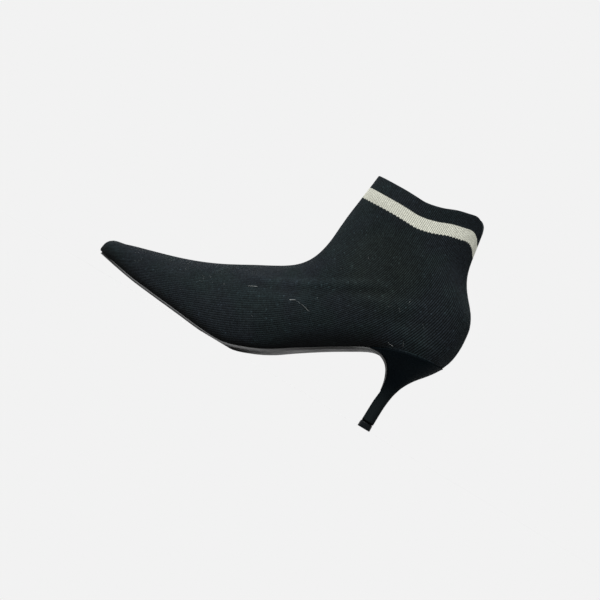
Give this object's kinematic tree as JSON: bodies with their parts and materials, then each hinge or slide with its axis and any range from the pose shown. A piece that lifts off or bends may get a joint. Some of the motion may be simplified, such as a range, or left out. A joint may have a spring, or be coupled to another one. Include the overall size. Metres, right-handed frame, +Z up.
{
  "type": "sock boot",
  "caption": "Pointed-toe knitted sock boot with a slim curved heel, thin outsole, ribbed upper and a pale stripe below the open collar.",
  "frame": {"origin": "on the ground under the middle of the heel's top piece", "axes": "-X points to the toe, +X to the back of the heel, +Z up, -Y to the boot's outer side"},
  "size_m": [0.2495, 0.0787, 0.1649],
  "materials": {
    "knit": "matt ribbed black knit with a cream stripe",
    "sole": "glossy thin outsole",
    "heel cover": "smooth black covering",
    "top piece": "glossy black",
    "lining": "matt black sock lining"
  },
  "bodies": {
    "root": {"upper": "knit", "outsole": "sole", "insole": "lining", "heel": "heel cover", "top_piece": "top piece"}
  },
  "joints": []
}
